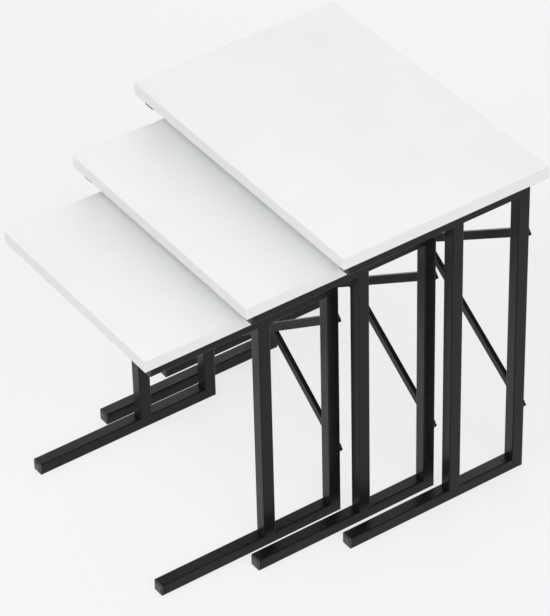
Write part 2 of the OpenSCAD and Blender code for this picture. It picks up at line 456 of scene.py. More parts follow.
@dataclass(frozen=True)
class PanScrew:
    """Pan-head screw with a cross recess and a rolled thread, pointing along -Z.

    Attributes:
        head: Diameter of the head.
        height: Height of the head.
        shank: Diameter of the shank.
        length: Length under the head.
        pitch: Distance from one turn of the thread to the next.
        threaded: Length of the thread, from the tip.
        tip: Length of the tapered tip.
        head_sides: Facets around the head.
        dome: Rounding of the head's top, as a share of its height.
        dome_steps: Facets across that rounding.
        cross_span: Span of the cross, at the top of the shape that cuts it.
        cross_width: Width of the cross there.
        cross_depth: Depth of the cross.
        cross_over: How far the shape that cuts it stands over the head.
        cross_taper: Span and width at the cross's bottom, as shares of those at the top.
        core_sides: Facets around the core of the shank.
        core_drop: Depth of the core under the thread's crest, as a share of the pitch.
        root_drop: Depth of the thread's foot, sunk into the core, as a share of the pitch.
        blunt: Most of the core's radius that the tip may round off, as a share.
        tip_steps: Facets along the tip.
        thread_steps: Facets around each turn of the thread.
    """

    head: float
    height: float
    shank: float
    length: float
    pitch: float
    threaded: float
    tip: float
    head_sides: int = 32
    dome: float = 0.6
    dome_steps: int = 6
    cross_span: float = 4.6 * MM
    cross_width: float = 1.1 * MM
    cross_depth: float = 1.5 * MM
    cross_over: float = 1.0 * MM
    cross_taper: tuple[float, float] = (0.45, 0.8)
    core_sides: int = 24
    core_drop: float = 0.3
    root_drop: float = 0.4
    blunt: float = 0.8
    tip_steps: int = 2
    thread_steps: int = 12

    def build(self) -> bmesh.types.BMesh:
        """Makes the whole screw with its seat at the origin."""
        return merged([self._head(), self._shank(), self._thread()])

    def _head(self) -> bmesh.types.BMesh:
        """Makes the domed head and cuts the driver's cross into it.

        Returns:
            A new closed mesh of the head.
        """
        middle = Matrix.Translation(Z_AXIS * (self.height / 2))
        mesh = peg(self.head / 2, self.height, self.head_sides, middle)
        top = edges_where(mesh, lambda a, b: min(a.z, b.z) > self.height - ON_PLANE)
        ease(mesh, top, self.dome * self.height, self.dome_steps)
        return carved(mesh, self._cross())

    def _cross(self) -> bmesh.types.BMesh:
        """Makes the tapered cross that is cut out for the driver.

        Returns:
            A new mesh with the two arms of the cross as crossing shells.
        """
        half = Vector((self.cross_span / 2, self.cross_width / 2, 0))
        arms = []
        for turn in (0, math.pi / 2):
            arm = block(Extent(
                -half + Z_AXIS * (self.height - self.cross_depth),
                half + Z_AXIS * (self.height + self.cross_over),
            ))
            deep = [v for v in arm.verts if v.co.z < self.height]
            bmesh.ops.scale(arm, vec=(*self.cross_taper, 1), verts=deep)
            bmesh.ops.rotate(arm, matrix=Matrix.Rotation(turn, 3, "Z"), verts=arm.verts)
            arms.append(arm)
        return merged(arms)

    def _shank(self) -> bmesh.types.BMesh:
        """Makes the plain core of the shank with its rounded tip.

        Returns:
            A new closed mesh of the core.
        """
        core = self.shank / 2 - self.core_drop * self.pitch
        middle = Matrix.Translation(Z_AXIS * (-self.length / 2))
        mesh = peg(core, self.length, self.core_sides, middle)
        end = edges_where(mesh, lambda a, b: max(a.z, b.z) < -self.length + ON_PLANE)
        ease(mesh, end, min(self.tip, self.blunt * core), self.tip_steps)
        return mesh

    def _thread(self) -> bmesh.types.BMesh:
        """Winds the thread's ridge round the core, from the tip upwards.

        Returns:
            A new closed mesh of the ridge.
        """
        mesh = bmesh.new()
        outer, inner = self.shank / 2, self.shank / 2 - self.root_drop * self.pitch
        bottom = -self.length + self.tip
        turns = max(1, round((self.threaded - self.tip) / self.pitch - 1))
        ridge = [
            mesh.verts.new((inner, 0, bottom)),
            mesh.verts.new((outer, 0, bottom + self.pitch / 2)),
            mesh.verts.new((inner, 0, bottom + self.pitch)),
        ]
        bmesh.ops.spin(
            mesh, geom=[*ridge, mesh.faces.new(ridge)], cent=(0, 0, 0), axis=Z_AXIS,
            dvec=Z_AXIS * (self.pitch / self.thread_steps), angle=FULL_TURN * turns,
            steps=self.thread_steps * turns, use_merge=False, use_duplicate=False,
        )
        return outward(mesh)


# ---- Finishes ----


def set_inputs(node: bpy.types.Node, values: Mapping[str, Setting]) -> None:
    """Sets constants on a node's own sockets.

    Args:
        node: The node.
        values: The constants, by the names of their sockets.
    """
    for name, value in values.items():
        node.inputs[name].default_value = value


class NodeGroups:
    """The shader node groups that several finishes share, each built once."""

    def __init__(self) -> None:
        """Builds the groups."""
        self.drift = self._build_drift()
        self.relief = self._build_relief()
        self.wipe = self._build_wipe()

    def _start(
        self, name: str, inputs: Sequence[str], output: str
    ) -> tuple[bpy.types.NodeTree, bpy.types.Node, bpy.types.Node]:
        """Starts a group that takes in a place and some numbers, and puts out one number.

        Args:
            name: Name of the group.
            inputs: Names of the numbers that it takes in.
            output: Name of the number that it puts out.

        Returns:
            The group, its input node and its output node.
        """
        tree = bpy.data.node_groups.new(name, "ShaderNodeTree")
        add = tree.interface.new_socket
        add(name="Place", in_out="INPUT", socket_type="NodeSocketVector")
        for word in inputs:
            add(name=word, in_out="INPUT", socket_type="NodeSocketFloat")
        add(name=output, in_out="OUTPUT", socket_type="NodeSocketFloat")
        return tree, tree.nodes.new("NodeGroupInput"), tree.nodes.new("NodeGroupOutput")

    def _build_drift(self) -> bpy.types.NodeTree:
        """Builds broad soft patches, for colour and gloss that aren't quite even.

        Returns:
            The group, whose mask is 0 in some patches and 1 in others.
        """
        tree, taken, given = self._start("soft_drift", ["Patches per metre"], "Mask")
        noise = tree.nodes.new("ShaderNodeTexNoise")
        spread = tree.nodes.new("ShaderNodeMapRange")
        set_inputs(noise, {"Detail": 3, "Roughness": 0.55})
        set_inputs(spread, {"From Min": 0.3, "From Max": 0.7})
        tree.links.new(taken.outputs["Place"], noise.inputs["Vector"])
        tree.links.new(taken.outputs["Patches per metre"], noise.inputs["Scale"])
        tree.links.new(noise.outputs["Fac"], spread.inputs["Value"])
        tree.links.new(spread.outputs["Result"], given.inputs["Mask"])
        return tree

    def _build_relief(self) -> bpy.types.NodeTree:
        """Builds fine grain over a slower swell, as a height for bump.

        Returns:
            The group, whose height runs from 0 to 1.
        """
        rates = ["Grains per metre", "Swells per metre"]
        tree, taken, given = self._start("fine_relief", [*rates, "Swell share"], "Height")
        grain = tree.nodes.new("ShaderNodeTexNoise")
        swell = tree.nodes.new("ShaderNodeTexNoise")
        blend = tree.nodes.new("ShaderNodeMix")
        set_inputs(grain, {"Detail": 2})
        set_inputs(swell, {"Detail": 1})
        for noise, rate, end in ((grain, rates[0], "A"), (swell, rates[1], "B")):
            tree.links.new(taken.outputs["Place"], noise.inputs["Vector"])
            tree.links.new(taken.outputs[rate], noise.inputs["Scale"])
            tree.links.new(noise.outputs["Fac"], blend.inputs[end])
        tree.links.new(taken.outputs["Swell share"], blend.inputs["Factor"])
        tree.links.new(blend.outputs["Result"], given.inputs["Height"])
        return tree

    def _build_wipe(self) -> bpy.types.NodeTree:
        """Builds faint long strokes, as left by a cloth on a hard surface.

        Returns:
            The group, whose mask is 1 on the strokes.
        """
        tree, taken, given = self._start("wipe_marks", ["Strokes per metre"], "Mask")
        stretch = tree.nodes.new("ShaderNodeMapping")
        noise = tree.nodes.new("ShaderNodeTexNoise")
        spread = tree.nodes.new("ShaderNodeMapRange")
        set_inputs(stretch, {"Scale": (1, 0.12, 1), "Rotation": (0, 0, math.radians(24))})
        set_inputs(noise, {"Detail": 4, "Distortion": 0.6})
        set_inputs(spread, {"From Min": 0.45, "From Max": 0.75})
        tree.links.new(taken.outputs["Place"], stretch.inputs["Vector"])
        tree.links.new(stretch.outputs["Vector"], noise.inputs["Vector"])
        tree.links.new(taken.outputs["Strokes per metre"], noise.inputs["Scale"])
        tree.links.new(noise.outputs["Fac"], spread.inputs["Value"])
        tree.links.new(spread.outputs["Result"], given.inputs["Mask"])
        return tree


@dataclass(frozen=True)
class Finish:
    """A hard finish whose colour and gloss drift a little over a fine relief.

    Attributes:
        name: Name of the material.
        colour: Base colour.
        shade: Colour that the patches drift to.
        patches: Patches per metre.
        gloss: Roughness of the glossiest patches.
        dull: Roughness of the dullest patches.
        grains: Grains of the relief per metre.
        swells: Swells of the relief per metre.
        swell_share: Share of the swells in the relief.
        height: Height of the relief.
        metallic: Whether the surface is bare metal, from 0 to 1.
        ior: Index of refraction of the surface.
        sheen: Weight of a soft sheen at low angles.
        sheen_roughness: Roughness of that sheen.
        wipes: Strokes per metre of faint wipe marks, or none.
    """

    name: str
    colour: Colour
    shade: Colour
    patches: float
    gloss: float
    dull: float
    grains: float
    swells: float
    swell_share: float
    height: float
    metallic: float = 0.0
    ior: float = 1.5
    sheen: float = 0.0
    sheen_roughness: float = 0.5
    wipes: float | None = None

    def material(self, groups: NodeGroups) -> bpy.types.Material:
        """Builds the material.

        Args:
            groups: The shared node groups.

        Returns:
            The new material.
        """
        material = bpy.data.materials.new(self.name)
        material.use_nodes = True
        tree = material.node_tree
        shader = tree.nodes["Principled BSDF"]
        set_inputs(shader, {
            "Metallic": self.metallic,
            "IOR": self.ior,
            "Sheen Weight": self.sheen,
            "Sheen Roughness": self.sheen_roughness,
        })
        place = tree.nodes.new("ShaderNodeTexCoord").outputs["Object"]
        drift = self._group(tree, groups.drift, place, {"Patches per metre": self.patches})
        self._tint(tree, drift, shader)
        self._gloss(tree, self._marks(tree, groups, place, drift), shader)
        relief = self._group(tree, groups.relief, place, {
            "Grains per metre": self.grains,
            "Swells per metre": self.swells,
            "Swell share": self.swell_share,
        })
        bump = tree.nodes.new("ShaderNodeBump")
        set_inputs(bump, {"Distance": self.height})
        tree.links.new(relief, bump.inputs["Height"])
        tree.links.new(bump.outputs["Normal"], shader.inputs["Normal"])
        return material

    def _tint(
        self, tree: bpy.types.NodeTree, drift: bpy.types.NodeSocket, shader: bpy.types.Node
    ) -> None:
        """Lets the colour drift from patch to patch.

        Args:
            tree: The material's nodes.
            drift: Mask of the patches.
            shader: The material's shader.
        """
        tint = tree.nodes.new("ShaderNodeMix")
        tint.data_type = "RGBA"
        set_inputs(tint, {"A": (*self.colour, 1), "B": (*self.shade, 1)})
        tree.links.new(drift, tint.inputs["Factor"])
        tree.links.new(tint.outputs["Result"], shader.inputs["Base Color"])

    def _marks(
        self, tree: bpy.types.NodeTree, groups: NodeGroups, place: bpy.types.NodeSocket,
        drift: bpy.types.NodeSocket,
    ) -> bpy.types.NodeSocket:
        """Adds the wipe marks, if the finish has them, to the patches.

        Args:
            tree: The material's nodes.
            groups: The shared node groups.
            place: Where each point of the surface is.
            drift: Mask of the patches.

        Returns:
            Mask of what is duller.
        """
        if self.wipes is None:
            return drift
        both = tree.nodes.new("ShaderNodeMath")
        both.operation = "MAXIMUM"
        wipe = self._group(tree, groups.wipe, place, {"Strokes per metre": self.wipes})
        for mask, entry in zip((drift, wipe), both.inputs):
            tree.links.new(mask, entry)
        return both.outputs["Value"]

    def _gloss(
        self, tree: bpy.types.NodeTree, mask: bpy.types.NodeSocket, shader: bpy.types.Node
    ) -> None:
        """Sets the roughness, from glossy where the mask is 0 to dull where it is 1.

        Args:
            tree: The material's nodes.
            mask: Mask of what is duller.
            shader: The material's shader.
        """
        gloss = tree.nodes.new("ShaderNodeMapRange")
        set_inputs(gloss, {"To Min": self.gloss, "To Max": self.dull})
        tree.links.new(mask, gloss.inputs["Value"])
        tree.links.new(gloss.outputs["Result"], shader.inputs["Roughness"])

    def _group(
        self, tree: bpy.types.NodeTree, group: bpy.types.NodeTree, place: bpy.types.NodeSocket,
        values: Mapping[str, float],
    ) -> bpy.types.NodeSocket:
        """Places a shared group in the material.

        Args:
            tree: The material's nodes.
            group: The group.
            place: Where each point of the surface is.
            values: Numbers that the group takes in, by name.

        Returns:
            What the group puts out.
        """
        node = tree.nodes.new("ShaderNodeGroup")
        node.node_tree = group
        set_inputs(node, values)
        tree.links.new(place, node.inputs["Place"])
        return node.outputs[0]


FINISHES: dict[Slot, Finish] = {
    Slot.BOARD: Finish(
        name="white_melamine", colour=(0.85, 0.865, 0.847), shade=(0.835, 0.853, 0.835),
        patches=9, gloss=0.36, dull=0.46, grains=2600, swells=900, swell_share=0.45,
        height=0.012 * MM, wipes=22,
    ),
    # The bands' white is set well below the board's so that the board's four sides come out
    # darker than its top: partly the band's own tone, partly painted shade on the sides.
    Slot.BAND: Finish(
        name="edge_band_white_with_painted_shade", colour=(0.775, 0.786, 0.77), shade=(0.76, 0.772, 0.756),
        patches=30, gloss=0.32, dull=0.42, grains=3200, swells=500, swell_share=0.6,
        height=0.01 * MM,
    ),
    Slot.FRAME: Finish(
        name="black_powder_coat",
        colour=(0.0032, 0.0033, 0.0031), shade=(0.0048, 0.0049, 0.0046),
        patches=55, gloss=0.27, dull=0.36, grains=2400, swells=620, swell_share=0.7,
        height=0.045 * MM, ior=1.28, sheen=0.32, sheen_roughness=0.3,
    ),
    Slot.PLUG: Finish(
        name="black_polyethylene", colour=(0.03, 0.03, 0.0295), shade=(0.04, 0.04, 0.0395),
        patches=120, gloss=0.4, dull=0.5, grains=4200, swells=1500, swell_share=0.3,
        height=0.03 * MM,
    ),
    Slot.SCREW: Finish(
        name="black_zinc", colour=(0.05, 0.05, 0.055), shade=(0.03, 0.03, 0.032),
        patches=300, gloss=0.28, dull=0.42, grains=5000, swells=900, swell_share=0.4,
        height=0.01 * MM, metallic=0.7,
    ),
    Slot.NUT: Finish(
        name="bright_zinc", colour=(0.62, 0.62, 0.6), shade=(0.5, 0.5, 0.49),
        patches=260, gloss=0.24, dull=0.4, grains=5000, swells=900, swell_share=0.4,
        height=0.01 * MM, metallic=1.0,
    ),
}


# ---- Pieces ----


class Bench:
    """Where finished meshes become pieces. It holds a material for every slot."""

    SHARP_ANGLE = math.radians(40)

    def __init__(self) -> None:
        """Builds a material for every slot."""
        groups = NodeGroups()
        self.materials = {slot: finish.material(groups) for slot, finish in FINISHES.items()}

    def piece(
        self, name: str, mesh: bmesh.types.BMesh, slot: Slot, table: TableName, *nodes: str
    ) -> None:
        """Makes a piece of the object from a finished mesh and frees the mesh.

        Args:
            name: Name of the piece.
            mesh: Its mesh, in its place in the set.
            slot: Material slot that it takes its finish from.
            table: Table that it belongs to.
            *nodes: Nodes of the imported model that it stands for.
        """
        data = bpy.data.meshes.new(name)
        mesh.to_mesh(data)
        mesh.free()
        data.polygons.foreach_set("use_smooth", [True] * len(data.polygons))
        data.set_sharp_from_angle(angle=self.SHARP_ANGLE)
        data.materials.append(self.materials[slot])
        made = bpy.data.objects.new(name, data)
        bpy.context.scene.collection.objects.link(made)
        even = made.modifiers.new("even_shading", "WEIGHTED_NORMAL")
        even.keep_sharp = True
        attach(made, table.body)
        if nodes:
            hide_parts(*nodes)
        log.info("%s: %d faces, rides on %s", name, len(data.polygons), table.body)

    def dress(self, node: str, slot: Slot) -> None:
        """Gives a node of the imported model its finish, with its shape as it is.

        Args:
            node: The node.
            slot: Material slot that it takes its finish from.
        """
        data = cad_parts[node].data
        data.materials.clear()
        data.materials.append(self.materials[slot])
        log.info("%s: kept as it is, in %s", node, slot.value)


@dataclass(frozen=True)
class TableTop:
    """White board with an edge band on each of its four sides.

    Attributes:
        table: Table that the top belongs to.
        band_edge: Radius along the outer edges of the bands.
        band_steps: Facets across that radius.
        seam: Width of the hairline between the faces and the bands.
        pilot: Diameter of the screws' pilot holes.
        pilot_depth: Depth of those holes.
        pilot_sides: Facets around them.
    """

    table: TableName
    band_edge: float = 0.8 * MM
    band_steps: int = 4
    seam: float = 0.12 * MM
    pilot: float = 4.1 * MM
    pilot_depth: float = 12.5 * MM
    pilot_sides: int = 24

    def build(self, bench: Bench, screws: Sequence[Vector]) -> None:
        """Builds the board and its bands.

        Args:
            bench: Where pieces are made.
            screws: Seats of the board screws, under the rails.
        """
        board = Extent.of(self.table.node("board"))
        bench.piece(
            self.table.node("top_core"), self._core(board, screws), Slot.BOARD, self.table,
            self.table.node("board"),
        )
        bands = Extent.of(self.table.node("edge_bands"))
        bench.piece(
            self.table.node("top_bands"), self._bands(board, bands), Slot.BAND, self.table,
            self.table.node("edge_bands"),
        )

    def _core(self, board: Extent, screws: Sequence[Vector]) -> bmesh.types.BMesh:
        """Makes the board between the bands, just broken at its edges and drilled.

        Args:
            board: Extent of the board without its bands.
            screws: Seats of the board screws.

        Returns:
            A new closed mesh of the board.
        """
        mesh = block(board)
        level = edges_where(mesh, lambda a, b: not parallel(b - a, Z_AXIS))
        ease(mesh, level, self.seam, 1)
        holes = [
            peg(
                self.pilot / 2, 2 * self.pilot_depth, self.pilot_sides,
                Matrix.Translation((screw.x, screw.y, board.low.z)),
            )
            for screw in screws
        ]
        return carved(mesh, merged(holes))

    def _bands(self, board: Extent, bands: Extent) -> bmesh.types.BMesh:
        """Makes the four bands: front and rear in full width, the side ones between them.

        Args:
            board: Extent of the board without its bands.
            bands: Extent of the board with them.

        Returns:
            A new mesh with the four bands.
        """
        strips = []
        for near, far in ((bands.low.y, board.low.y), (bands.high.y, board.high.y)):
            strip = block(Extent(
                Vector((bands.low.x, min(near, far), bands.low.z)),
                Vector((bands.high.x, max(near, far), bands.high.z)),
            ))
            outer = edges_where(strip, lambda a, b: abs(a.y - far) + abs(b.y - far) > ON_PLANE)
            ease(strip, outer, self.band_edge, self.band_steps)
            strips.append(strip)
        for near, far in ((bands.low.x, board.low.x), (bands.high.x, board.high.x)):
            strip = block(Extent(
                Vector((min(near, far), board.low.y, bands.low.z)),
                Vector((max(near, far), board.high.y, bands.high.z)),
            ))
            outer = edges_where(
                strip, lambda a, b: parallel(b - a, Y_AXIS) and abs(a.x - near) < ON_PLANE
            )
            ease(strip, outer, self.band_edge, self.band_steps)
            strips.append(strip)
        return merged(strips)


@dataclass(frozen=True)
class SideFrame:
    """One welded side of a table: rail, skid, front post and rear post.

    Attributes:
        table: Table that the frame belongs to.
        side: Side of the table that it is on.
        stock: Tube that it is made from.
        bead: Weld bead in its inner corners.
        ground_inset: Gap from a post's corner to its ground weld, in corner radii.
        ground_ease: Rounding of the ground weld, in corner radii.
        ground_steps: Facets across that rounding.
    """

    table: TableName
    side: Side
    stock: TubeStock = TubeStock()
    bead: WeldBead = WeldBead()
    ground_inset: float = 0.4
    ground_ease: float = 0.9
    ground_steps: int = 4

    def part(self, word: str) -> str:
        """Name of one of the frame's nodes or pieces."""
        return self.table.node(f"{self.side.value}_{word}")

    def build(self, bench: Bench) -> None:
        """Builds the four tubes and the welds between them.

        Args:
            bench: Where pieces are made.
        """
        rail, skid, front, rear = (
            Extent.of(self.part(word)) for word in ("rail", "skid", "front_post", "rear_post")
        )
        top = (Vector((rail.centre.x, rail.high.y, rail.high.z)), Vector((0, 1, -1)))
        bottom = (Vector((skid.centre.x, skid.high.y, skid.low.z)), Vector((0, 1, 1)))
        lengths = {
            "rail": (rail, Y_AXIS, [top]),
            "skid": (skid, Y_AXIS, [bottom]),
            "front_post": (front, Z_AXIS, []),
            "rear_post": (rear, Z_AXIS, [(tip, -out) for tip, out in (bottom, top)]),
        }
        for word, (extent, along, mitres) in lengths.items():
            mesh = self.stock.length(extent, along, mitres)
            bench.piece(f"{self.part(word)}_tube", mesh, Slot.FRAME, self.table, self.part(word))
        bench.piece(
            self.part("welds"), self._welds(rail, skid, front, rear), Slot.FRAME, self.table
        )

    def _welds(
        self, rail: Extent, skid: Extent, front: Extent, rear: Extent
    ) -> bmesh.types.BMesh:
        """Makes the beads across the inner corners and the ground welds on the flat sides.

        Args:
            rail: Extent of the rail.
            skid: Extent of the skid.
            front: Extent of the front post.
            rear: Extent of the rear post.

        Returns:
            A new mesh with all the welds of the frame.
        """
        reach = X_AXIS * (rail.size.x / 2 - self.stock.corner)
        corners = [
            Vector((rail.centre.x, y, z))
            for y in (front.low.y, front.high.y, rear.low.y)
            for z in (skid.high.z, rail.low.z)
        ]
        welds = [self.bead.run(corner - reach, corner + reach) for corner in corners]
        for z, up in ((skid.high.z, -1), (rail.low.z, 1)):
            for x in (front.low.x, front.high.x):
                welds.append(self._ground_weld(front, Vector((x, 0, z)), up))
        return merged(welds)

    def _ground_weld(self, post: Extent, edge: Vector, up: int) -> bmesh.types.BMesh:
        """Makes a weld ground flush where a post's flat side meets a level tube's edge.

        Args:
            post: Extent of the post.
            edge: Its x is the flat side and its z the post's end.
            up: 1 where the level tube is above the post's end, -1 where it is below.

        Returns:
            A new closed mesh of the weld.
        """
        depth = self.stock.corner
        inset = self.ground_inset * depth
        inner = edge.x + depth * (1 if edge.x < post.centre.x else -1)
        outer_z = edge.z + up * depth
        mesh = block(Extent(
            Vector((min(edge.x, inner), post.low.y + inset, min(edge.z, outer_z))),
            Vector((max(edge.x, inner), post.high.y - inset, max(edge.z, outer_z))),
        ))
        ends = edges_where(
            mesh, lambda a, b: parallel(b - a, Z_AXIS) and abs(a.x - edge.x) < ON_PLANE
        )
        ease(mesh, ends, self.ground_ease * depth, self.ground_steps)
        return mesh


@dataclass(frozen=True)
class Brace:
    """X of two flat bars behind the rear posts, one whole and one in two lengths.

    Attributes:
        table: Table that the brace belongs to.
        width: Width of the bars.
        edge: Radius along the bars' edges.
        edge_steps: Facets across that radius.
        screw_margin: From the end of a bar to its screw.
        hole: Diameter of the screw holes.
        hole_sides: Facets around them.
        bead: Bead of the butt welds, laid flat.
        bead_flatness: Height of that bead as a share of its width.
    """

    table: TableName
    width: float = 12.7 * MM
    edge: float = 0.7 * MM
    edge_steps: int = 3
    screw_margin: float = 8.0 * MM
    hole: float = 4.5 * MM
    hole_sides: int = 24
    bead: WeldBead = WeldBead(radius=1.3 * MM, pitch=1.5 * MM, ripple=0.12 * MM)
    bead_flatness: float = 0.3

    def build(self, bench: Bench, screws: Sequence[Vector]) -> None:
        """Builds the two bars and the welds where they cross.

        Args:
            bench: Where pieces are made.
            screws: Seats of the brace screws on the rear of the bars.
        """
        whole = self.table.node("brace_whole_bar")
        split = self.table.node("brace_split_bar")
        extent = Extent.of(whole)
        rising, falling = self._directions(screws)
        long_bar = self._bar(extent, rising, screws)
        short_bars = merged(
            self._half(extent, falling, rising, screws, end) for end in (1, -1)
        )
        bench.piece(f"{whole}_steel", long_bar, Slot.FRAME, self.table, whole)
        bench.piece(f"{split}_steel", short_bars, Slot.FRAME, self.table, split)
        welds = self._welds(extent, rising, falling)
        bench.piece(self.table.node("brace_welds"), welds, Slot.FRAME, self.table)

    def _directions(self, screws: Sequence[Vector]) -> tuple[Vector, Vector]:
        """Finds how the bars lean.

        Args:
            screws: Seats of the four brace screws.

        Returns:
            Unit vectors to the right along the rising and the falling bar.
        """
        low_left = min(screws, key=lambda screw: screw.x + screw.z)
        high_right = max(screws, key=lambda screw: screw.x + screw.z)
        rising = (high_right - low_left).normalized()
        return rising, Vector((rising.x, rising.y, -rising.z))

    def _bar(
        self, extent: Extent, along: Vector, screws: Sequence[Vector]
    ) -> bmesh.types.BMesh:
        """Makes a whole flat bar with eased edges and a hole at each end.

        Args:
            extent: Extent of the bar, for its thickness and its middle.
            along: Unit vector along the bar.
            screws: Seats of all the brace screws.

        Returns:
            A new closed mesh of the bar.
        """
        own = [screw for screw in screws if parallel(screw - extent.centre, along)]
        span = max((a - b).length for a in own for b in own)
        half = Vector((span / 2 + self.screw_margin, extent.size.y / 2, self.width / 2))
        mesh = block(Extent(-half, half))
        ease(mesh, mesh.edges, self.edge, self.edge_steps)
        through = Matrix.Rotation(math.pi / 2, 4, "X")
        mesh = carved(mesh, merged(
            peg(
                self.hole / 2, 4 * half.y, self.hole_sides,
                Matrix.Translation((end * span / 2, 0, 0)) @ through,
            )
            for end in (1, -1)
        ))
        lean = Matrix.Rotation(math.atan2(-along.z, along.x), 4, "Y")
        bmesh.ops.transform(
            mesh, matrix=Matrix.Translation(extent.centre) @ lean, verts=mesh.verts
        )
        return mesh

    def _square_to(self, bar: Vector, other: Vector) -> Vector:
        """Finds the way out from one bar's edge, in the plane of the X.

        Args:
            bar: Unit vector along the bar.
            other: Unit vector along the other bar.

        Returns:
            Unit vector square to the bar, on the side that the other bar leads to.
        """
        away = bar.cross(Y_AXIS)
        return away if other.dot(away) > 0 else -away

    def _half(
        self, extent: Extent, along: Vector, crossing: Vector, screws: Sequence[Vector], end: int
    ) -> bmesh.types.BMesh:
        """Makes one length of the split bar, cut to butt against the whole bar's edge.

        Args:
            extent: Extent of the whole bar.
            along: Unit vector along the split bar.
            crossing: Unit vector along the whole bar.
            screws: Seats of all the brace screws.
            end: 1 for the right-hand length, -1 for the left-hand one.

        Returns:
            A new closed mesh of the length.
        """
        mesh = self._bar(extent, along, screws)
        away = self._square_to(crossing, along)
        cut_away(mesh, extent.centre + away * (end * self.width / 2), away * -end)
        bmesh.ops.holes_fill(mesh, edges=[e for e in mesh.edges if e.is_boundary])
        return outward(mesh)

    def _welds(self, extent: Extent, rising: Vector, falling: Vector) -> bmesh.types.BMesh:
        """Makes the flat beads along the two butt joints, on the front and the rear.

        Args:
            extent: Extent of the whole bar.
            rising: Unit vector along the whole bar.
            falling: Unit vector along the split bar.

        Returns:
            A new mesh with the four beads.
        """
        away = self._square_to(rising, falling)
        lean = falling.dot(rising) / falling.dot(away)
        seam = self.width / falling.dot(away)
        welds = []
        for end in (1, -1):
            middle = extent.centre + (away + rising * lean) * (end * self.width / 2)
            for y in (extent.low.y, extent.high.y):
                spot = Vector((middle.x, y, middle.z))
                reach = rising * (seam / 2)
                welds.append(self.bead.run(spot - reach, spot + reach, self.bead_flatness))
        return merged(welds)


@dataclass(frozen=True)
class TubePlugs:
    """Ribbed plastic plugs in the front ends of a table's rails and skids.

    Attributes:
        table: Table that the plugs belong to.
        cap: Thickness of the cap with its raised pad.
        pad: Height of the raised pad.
        margin: From the edge of the cap to its pad.
        sunk: How far the pad's own shape reaches into the cap.
        stock: Tube that the plugs fit. The cap has its corners, and the pad half of that.
        corner_steps: Facets around a corner of the cap.
        rim: Radius along the front edge of the cap.
        pad_edge: Rounding of the pad's front edge, as a share of its height.
        steps: Facets across the cap's rim and around the pad's corners.
        fit: Gap between the ribs and the tube's wall.
        rib: Depth of the ribs.
        rib_width: Width of a rib along the plug.
        ribs: Number of ribs.
        soft: Radius along the edges of the core and the ribs.
        soft_steps: Facets across that radius and the pad's front edge.
    """

    table: TableName
    cap: float = 2.0 * MM
    pad: float = 0.6 * MM
    margin: float = 3.0 * MM
    sunk: float = 0.2 * MM
    stock: TubeStock = TubeStock()
    corner_steps: int = 5
    rim: float = 1.2 * MM
    pad_edge: float = 0.4
    steps: int = 4
    fit: float = 0.1 * MM
    rib: float = 1.2 * MM
    rib_width: float = 1.0 * MM
    ribs: int = 4
    soft: float = 0.25 * MM
    soft_steps: int = 2

    def build(self, bench: Bench) -> None:
        """Builds the four plugs of the table as one piece.

        Args:
            bench: Where pieces are made.
        """
        node = self.table.node("end_plugs")
        plugs = Extent.of(node)
        made = []
        for side in Side:
            for word in ("rail", "skid"):
                tube = Extent.of(self.table.node(f"{side.value}_{word}"))
                made.append(self._plug(Extent(
                    Vector((tube.low.x, plugs.low.y, tube.low.z)),
                    Vector((tube.high.x, plugs.high.y, tube.high.z)),
                )))
        bench.piece(f"{node}_moulded", merged(made), Slot.PLUG, self.table, node)

    def _plug(self, extent: Extent) -> bmesh.types.BMesh:
        """Makes one plug: cap, raised pad, core and ribs.

        Args:
            extent: Extent of the plug, with the tube's own width and height.

        Returns:
            A new mesh of the plug.
        """
        low, high = extent.low, extent.high
        cap_front, cap_rear = low.y + self.pad, low.y + self.cap
        corner = self.stock.corner
        cap = block(Extent(Vector((low.x, cap_front, low.z)), Vector((high.x, cap_rear, high.z))))
        ease(cap, edges_where(cap, is_along(Y_AXIS)), corner, self.corner_steps)
        ease(cap, self._front_edges(cap, cap_front), self.rim, self.steps)
        inset = Vector((self.margin, 0, self.margin))
        pad = block(Extent(low + inset, Vector((high.x, cap_front + self.sunk, high.z)) - inset))
        ease(pad, edges_where(pad, is_along(Y_AXIS)), corner / 2, self.steps)
        ease(pad, self._front_edges(pad, low.y), self.pad_edge * self.pad, self.soft_steps)
        to_rib = self.stock.wall + self.fit
        parts = [cap, pad, self._stub(extent, to_rib + self.rib, cap_rear, high.y)]
        step = (high.y - cap_rear) / self.ribs
        for i in range(self.ribs):
            start = cap_rear + (i + 0.5) * step - self.rib_width / 2
            parts.append(self._stub(extent, to_rib, start, start + self.rib_width))
        return merged(parts)

    def _front_edges(self, mesh: bmesh.types.BMesh, front: float) -> list[bmesh.types.BMEdge]:
        """The edges around a mesh's front face, which is at a given depth."""
        return edges_where(mesh, lambda a, b: max(a.y, b.y) < front + ON_PLANE)

    def _stub(self, extent: Extent, inset: float, start: float, end: float) -> bmesh.types.BMesh:
        """Makes a block inside the tube with eased edges, from one depth to another.

        Args:
            extent: Extent of the plug.
            inset: How far the block stays in from the tube's outside.
            start: Its front.
            end: Its rear.

        Returns:
            A new closed mesh of the block.
        """
        mesh = block(Extent(
            Vector((extent.low.x + inset, start, extent.low.z + inset)),
            Vector((extent.high.x - inset, end, extent.high.z - inset)),
        ))
        ease(mesh, mesh.edges, self.soft, self.soft_steps)
        return mesh


